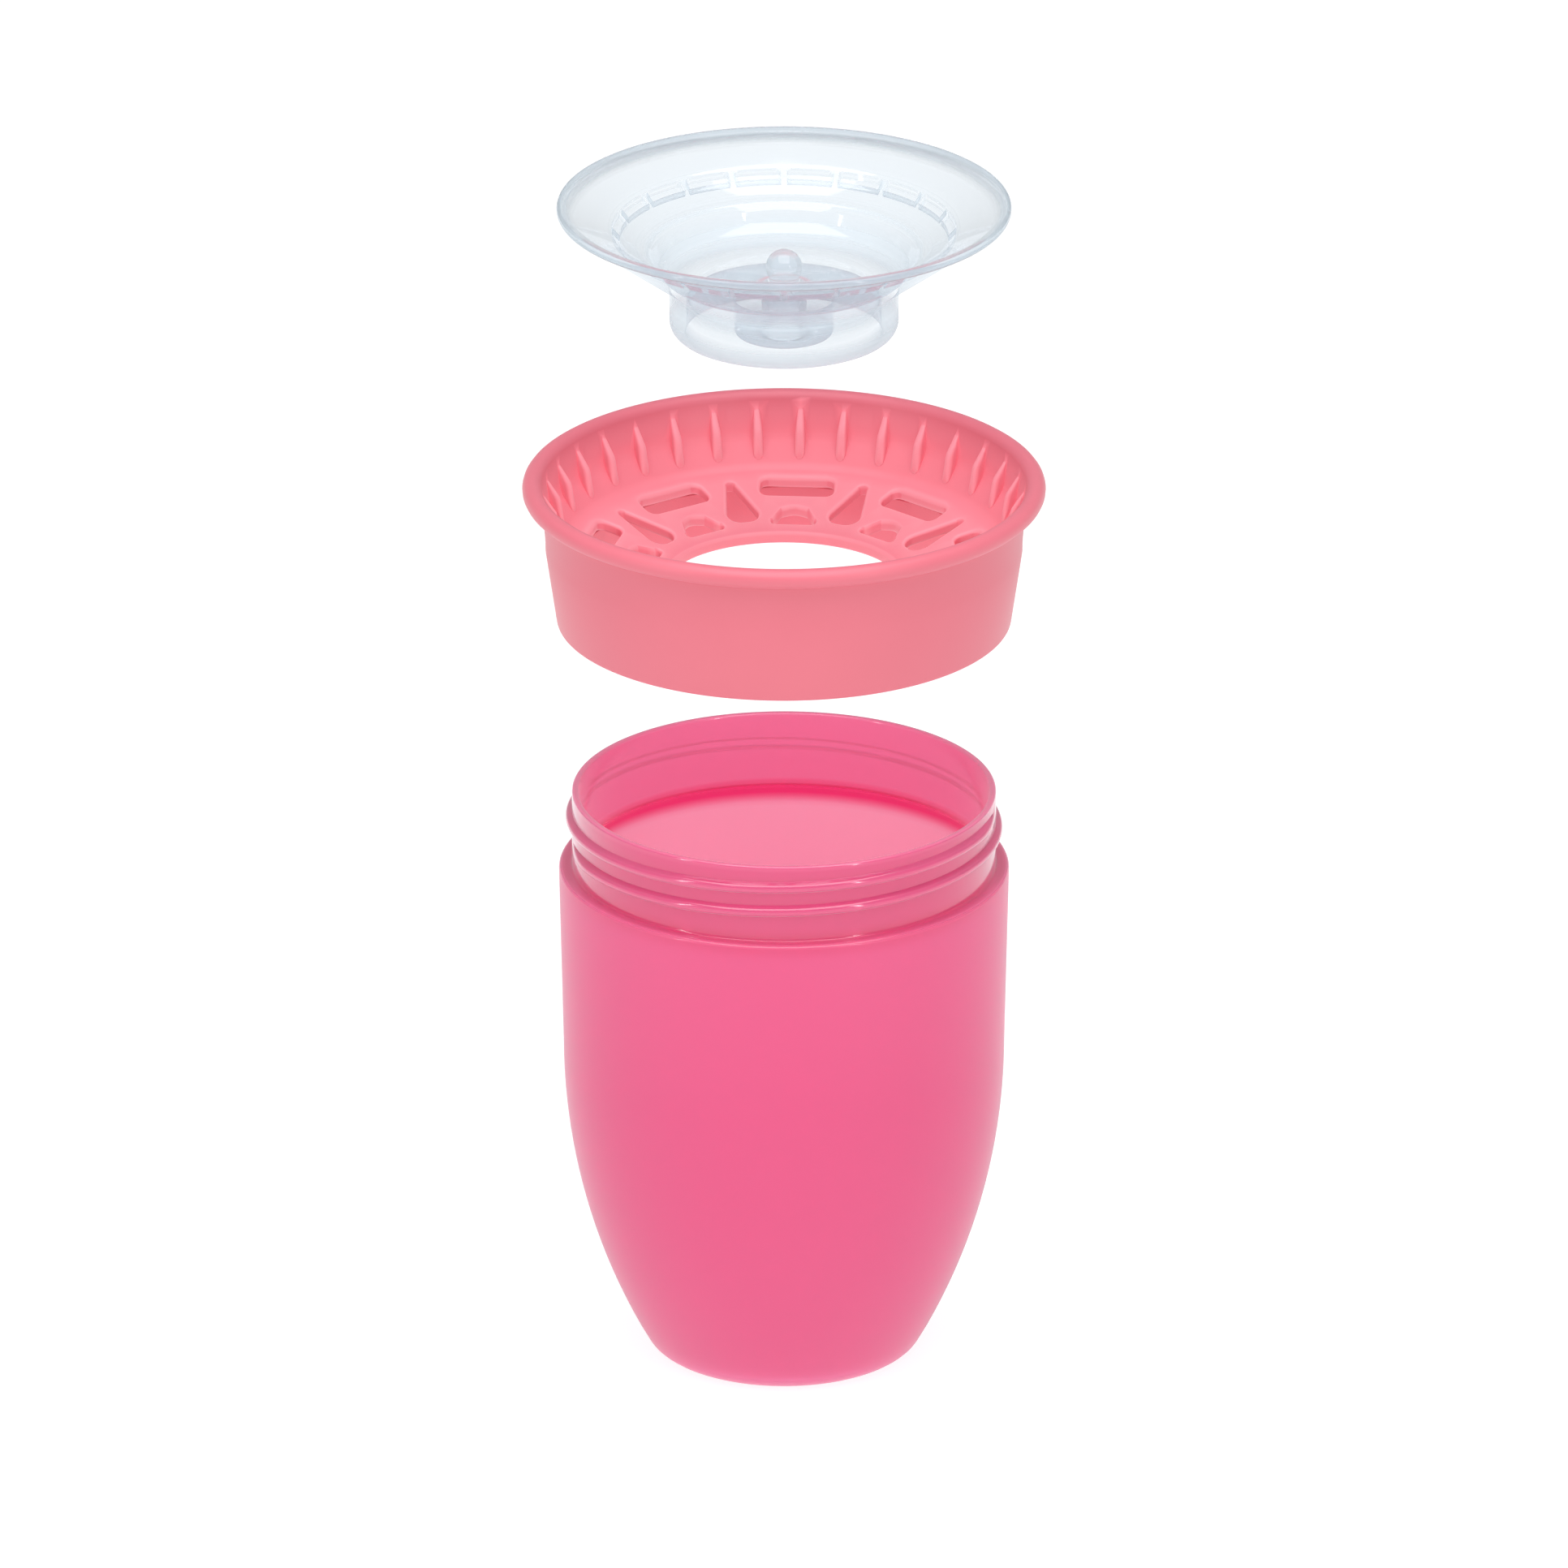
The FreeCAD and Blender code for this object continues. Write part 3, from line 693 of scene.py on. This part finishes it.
def make_pink():
    pink = Graph("pink_polypropylene")
    height = height_of(pink)
    place = object_place(pink)
    neck = ramp(pink, height, SHOULDER_HEIGHT - 0.6, SHOULDER_HEIGHT + 0.1)
    below_neck = ramp(pink, height, NECK_FOOT, NECK_FOOT - 2.3)
    inside, bend = recorded(pink, "inside"), recorded(pink, "bend")
    from_crease = pink.math("ABSOLUTE", height - CREASE_MIDDLE * MM)
    # Painted shade: in the crease below the neck the base colour and the emission are made a
    # darker, deeper pink.
    crease = inside * ramp(pink, from_crease, 2.2, 0.6)
    spark = pink.node("ShaderNodeTexNoise", Vector=place, Scale=2600.0, Detail=2.0, Roughness=0.6)
    cloud = pink.node("ShaderNodeTexNoise", Vector=place, Scale=35.0, Detail=2.0, Roughness=0.5)
    # Painted light: surfaces that face inwards get a lighter base colour, paler still below the
    # neck, for the light that comes through the wall behind them.
    painted_backlight_colour = pink.mix(below_neck, (0.86, 0.16, 0.33, 1), (0.92, 0.48, 0.58, 1))
    colour = pink.mix(cloud * 0.5, (0.79, 0.088, 0.262, 1), (0.82, 0.10, 0.282, 1))
    colour = pink.mix(inside, colour, painted_backlight_colour)
    colour = pink.mix(crease, colour, (0.86, 0.03, 0.16, 1))
    # Painted light: an emission on the surfaces that face inwards, paler below the neck.
    painted_backlight_glow = pink.mix(below_neck, (0.16, 0.05, 0.085, 1), (0.19, 0.10, 0.13, 1))
    painted_glow = pink.mix(inside, BLACK, painted_backlight_glow)
    painted_glow = pink.mix(crease, painted_glow, (0.16, 0, 0.03, 1))
    # Painted highlight: a paler emission on convex edges.
    painted_glow = pink.mix(bend * 0.5, painted_glow, (0.20, 0.11, 0.15, 1))
    bump = pink.node("ShaderNodeBump", Strength=0.22, Distance=0.00004, Height=spark * (1 - neck))
    pink.set(
        Base_Color=colour, Roughness=0.48 - neck * 0.33, Normal=bump, IOR=1.49,
        Coat_Weight=neck * 0.7, Coat_Roughness=0.07, Transmission_Weight=0.5,
        Sheen_Weight=0.4, Sheen_Roughness=0.4, Sheen_Tint=SHEEN_TINT,
        Emission_Color=painted_glow, Emission_Strength=1.0,
    )
    return pink.material


cup.data.materials.append(make_pink())

# %% [markdown]
# ## Salmon polypropylene
# The collar is the same plastic with more pigment. It is satin all over, with a barely visible flow
# texture. Its inside carries painted light like the tumbler's, a lighter base colour and a faint
# emission, with a brighter emission on its edges as a painted highlight.

# %% The collar's plastic
def make_salmon():
    salmon = Graph("salmon_polypropylene")
    place = object_place(salmon)
    cloud = salmon.node("ShaderNodeTexNoise", Vector=place, Scale=60.0, Detail=3.0, Roughness=0.5)
    grain = salmon.node("ShaderNodeTexNoise", Vector=place, Scale=1800.0, Detail=2.0, Roughness=0.5)
    inside, bend = recorded(salmon, "inside"), recorded(salmon, "bend")
    colour = salmon.mix(cloud, (0.76, 0.165, 0.215, 1), (0.80, 0.18, 0.235, 1))
    # Painted light: surfaces that face inwards get a lighter base colour and a faint emission, for
    # light coming through the wall.
    colour = salmon.mix(inside, colour, (0.80, 0.21, 0.255, 1))
    painted_glow = salmon.mix(inside, BLACK, (0.17, 0.04, 0.055, 1))
    # Painted highlight: a brighter emission on the convex edges of the surfaces that face inwards.
    painted_glow = salmon.mix(bend * inside * 0.7, painted_glow, (0.25, 0.16, 0.18, 1))
    bump = salmon.node("ShaderNodeBump", Strength=0.12, Distance=0.00004, Height=grain)
    salmon.set(
        Base_Color=colour, Roughness=cloud * 0.08 + 0.38, Normal=bump, IOR=1.49,
        Sheen_Weight=0.08, Sheen_Roughness=0.4, Sheen_Tint=SHEEN_TINT,
        Emission_Color=painted_glow, Emission_Strength=1.0,
    )
    return salmon.material


collar.data.materials.append(make_salmon())

# %% [markdown]
# ## Clear silicone
# Silicone bends light a little less than glass and is never quite clear. The rim and the knob
# refract. The thin dish between them mostly lets light straight through, because a bent ray there
# would only show the pink collar underneath. The upper side adds a gloss. Where the surface bends,
# a darker base colour and a share of grey are painted shade that draws the dark rings.

# %% The valve's silicone
def make_silicone():
    silicone = Graph("clear_silicone_rubber")
    place = object_place(silicone)
    across = silicone.node(
        "ShaderNodeVectorMath", {"operation": "MULTIPLY"}, slots={0: place, 1: (1, 1, 0)}
    )
    radius = silicone.node(
        "ShaderNodeVectorMath", {"operation": "LENGTH"}, out=1, slots={0: across}
    )
    inside_rim = ramp(silicone, radius, 33.6, 31.5)
    outside_knob = ramp(silicone, radius, 3.5, 4.5)
    bend = silicone.math("ABSOLUTE", recorded(silicone, "bend")) * outside_knob
    upper = recorded(silicone, "inside")
    film = silicone.node("ShaderNodeTexNoise", Vector=place, Scale=220.0, Detail=3.0, Roughness=0.5)
    bump = silicone.node("ShaderNodeBump", Strength=0.05, Distance=0.0001, Height=film)
    # Painted shade: the base colour turns a darker grey where the surface bends, drawing dark
    # rings.
    colour = silicone.mix(bend, (0.88, 0.92, 0.945, 1), (0.54, 0.62, 0.68, 1))
    silicone.set(
        Base_Color=colour, Roughness=film * 0.04 + 0.04, Normal=bump, IOR=1.41,
        Transmission_Weight=0.7,
    )
    refracting = Wire(silicone, silicone.shader.outputs[0])
    clear = silicone.node("ShaderNodeBsdfTransparent", Color=(0.925, 0.945, 0.96, 1))
    painted_ring_shade = silicone.node("ShaderNodeBsdfDiffuse", Color=(0.66, 0.73, 0.78, 1))
    gloss = silicone.node("ShaderNodeBsdfAnisotropic", Color=(0.97, 0.98, 1, 1), Roughness=0.06)
    facing = silicone.node("ShaderNodeLayerWeight", out=1, Blend=0.5)
    gloss_share = upper * (facing * facing * facing * 0.6 + 0.04)
    # Painted shade: where the surface bends, a share of flat grey draws dark rings into the clear
    # part.
    straight = silicone.blend(bend * 0.4, clear, painted_ring_shade)
    straight = silicone.blend(gloss_share, straight, gloss)
    surface = silicone.blend(inside_rim * outside_knob * 0.75 + 0.25, refracting, straight)
    output = silicone.tree.nodes["Material Output"]
    silicone.feed(output.inputs["Surface"], surface)
    return silicone.material


valve.data.materials.append(make_silicone())

# %% [markdown]
# ## Studio
# The pieces float over a wide pale floor, lit by a large soft light from above and two narrow
# strip lights in front. The floor gives off some light of its own, so that it stays white.

# %% Floor, lights and world
def make_floor_sweep():
    sweep = bmesh.new()
    bmesh.ops.create_grid(sweep, x_segments=1, y_segments=1, size=6)
    data = bpy.data.meshes.new("studio_floor")
    sweep.to_mesh(data)
    sweep.free()
    floor = bpy.data.objects.new("studio_floor", data)
    bpy.context.scene.collection.objects.link(floor)
    paper = Graph("studio_paper")
    paper.set(
        Base_Color=(0.28, 0.28, 0.28, 1), Roughness=0.9, Specular_IOR_Level=0.1,
        Emission_Color=(1, 1, 1, 1), Emission_Strength=0.86,
    )
    data.materials.append(paper.material)
    return floor


def area_light(name, place, aim, width, height, power, colour=(1, 1, 1)):
    lamp = bpy.data.lights.new(name, "AREA")
    lamp.shape = "RECTANGLE"
    lamp.size, lamp.size_y, lamp.energy, lamp.color = width, height, power, colour
    light = bpy.data.objects.new(name, lamp)
    bpy.context.scene.collection.objects.link(light)
    light.location = place
    light.rotation_euler = (Vector(aim) - Vector(place)).to_track_quat("-Z", "Y").to_euler()
    return light


make_floor_sweep()
middle = (cad_box[0] + cad_box[1]) / 2
area_light("overhead", (0, -0.25, 0.95), middle, 1.0, 1.0, 9)
area_light("left_strip", (-0.73, -0.53, 0.30), middle, 0.04, 0.8, 1.2)
area_light("right_strip", (0.55, -0.71, 0.30), middle, 0.04, 0.8, 1.2)
world = bpy.data.worlds.new("studio")
bpy.context.scene.world = world
world.use_nodes = True
world.node_tree.nodes["Background"].inputs["Color"].default_value = (0.86, 0.90, 0.93, 1)
world.node_tree.nodes["Background"].inputs["Strength"].default_value = 0.42
bpy.context.scene.view_settings.view_transform = "Standard"

# %% [markdown]
# ## Camera
# A long lens from some way back, a little over twenty degrees above the floor, shows the ellipses
# of all three rims nearly alike.

# %% The camera
ELEVATION, DISTANCE, FRAME_WIDTH = math.radians(21.7), 4.0, 0.2375
LOOK_AT = Vector((0, 0, 0.0914))
camera_data = bpy.data.cameras.new("long_lens")
camera_data.sensor_width = 36
camera_data.lens = camera_data.sensor_width * DISTANCE / FRAME_WIDTH
camera_data.clip_end = 50
camera = bpy.data.objects.new("long_lens", camera_data)
bpy.context.scene.collection.objects.link(camera)
back = Vector((0, -math.cos(ELEVATION), math.sin(ELEVATION)))
camera.location = LOOK_AT + back * DISTANCE
camera.rotation_euler = (-back).to_track_quat("-Z", "Y").to_euler()
bpy.context.scene.camera = camera
